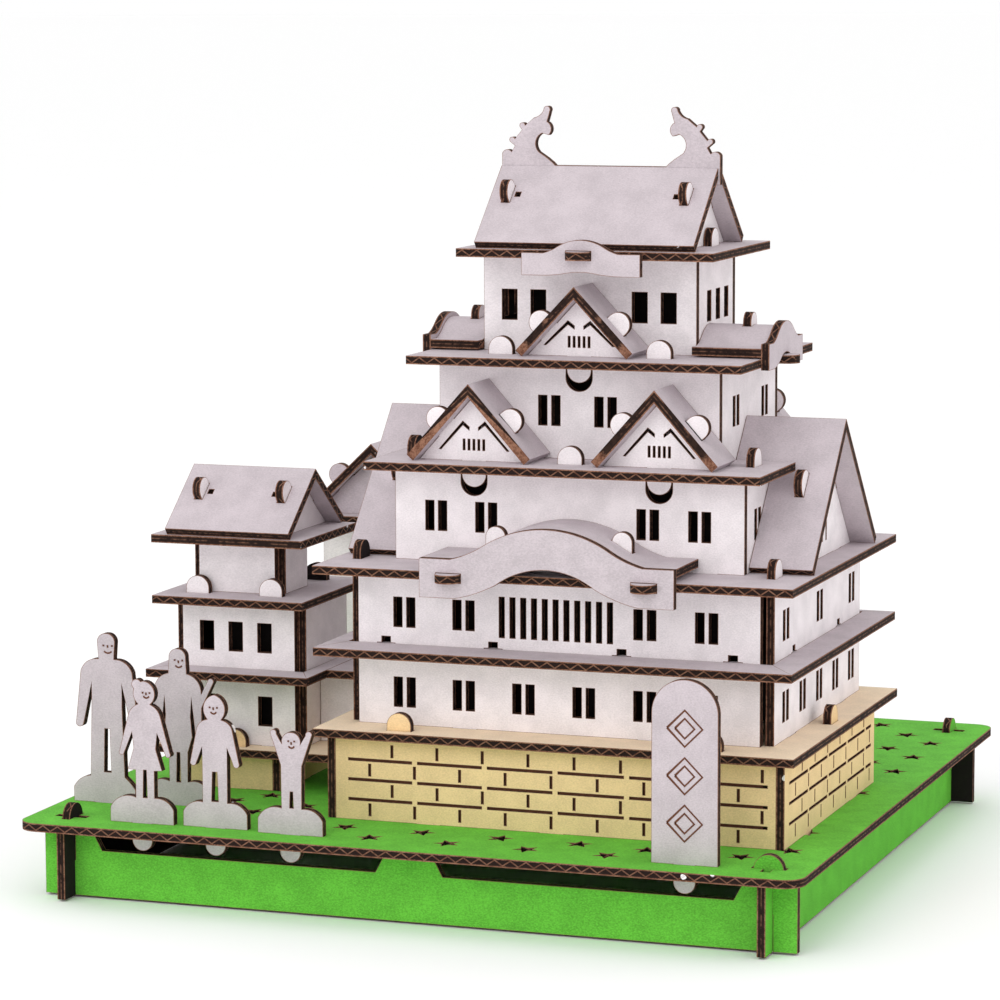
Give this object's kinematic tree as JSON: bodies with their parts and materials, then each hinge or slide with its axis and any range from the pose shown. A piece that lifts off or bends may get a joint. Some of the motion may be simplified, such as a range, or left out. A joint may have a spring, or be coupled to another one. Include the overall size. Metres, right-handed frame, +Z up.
{
  "type": "cardboard castle",
  "caption": "Slotted corrugated-board model of a Japanese castle keep on a green ground box, with a small side keep, flat figures and a bare name board.",
  "frame": {"origin": "middle of the ground box on the surface it stands on", "axes": "+Z up, +X to the right and +Y to the back as seen from the name board's side"},
  "size_m": [0.1526, 0.1548, 0.1479],
  "materials": {
    "board_white": "matte",
    "board_grey": "matte",
    "board_green": "matte",
    "board_stone": "matte"
  },
  "bodies": {
    "root": {"arch_boards": "board_grey", "arch_ribs": "board_white", "arch_roofs": "board_grey", "base_back": "board_green", "base_front": "board_green", "base_left": "board_green", "base_right": "board_green", "centre_gable_faces": "board_white", "centre_gable_roofs": "board_grey", "corridor_eave": "board_grey", "corridor_walls": "board_white", "eave1_strips": "board_grey", "eave2_plate": "board_grey", "eave3_plate": "board_grey", "eave4_plate": "board_grey", "eave5_plate": "board_grey", "figure_boy": "board_grey", "figure_child": "board_grey", "figure_girl": "board_grey", "figure_man": "board_grey", "figure_woman": "board_grey", "flank_boards": "board_grey", "flank_ribs": "board_white", "flank_roofs": "board_grey", "ground_plate": "board_green", "keep_back_wall": "board_white", "keep_front_wall": "board_white", "keep_left_wall": "board_white", "keep_right_wall": "board_white", "name_board": "board_grey", "rear_keep_eave": "board_grey", "rear_keep_roof": "board_grey", "rear_keep_walls": "board_white", "ridge_board": "board_grey", "roof_back_slope": "board_grey", "roof_ends": "board_white", "roof_front_slope": "board_grey", "side_gable_faces": "board_white", "side_gable_slopes": "board_grey", "small_eave1_strips": "board_grey", "small_eave2_plate": "board_grey", "small_eave3_plate": "board_grey", "small_gable_faces": "board_white", "small_gable_roofs": "board_grey", "small_keep_walls": "board_white", "small_roof_ends": "board_white", "small_roof_slopes": "board_grey", "small_stone_walls": "board_stone", "small_storey3_walls": "board_white", "small_terrace_plate": "board_stone", "stone_back_wall": "board_stone", "stone_front_wall": "board_stone", "stone_left_wall": "board_stone", "stone_right_wall": "board_stone", "storey3_walls": "board_white", "storey4_walls": "board_white", "storey5_walls": "board_white", "terrace_plate": "board_stone", "top_arch_board": "board_grey"}
  },
  "joints": []
}
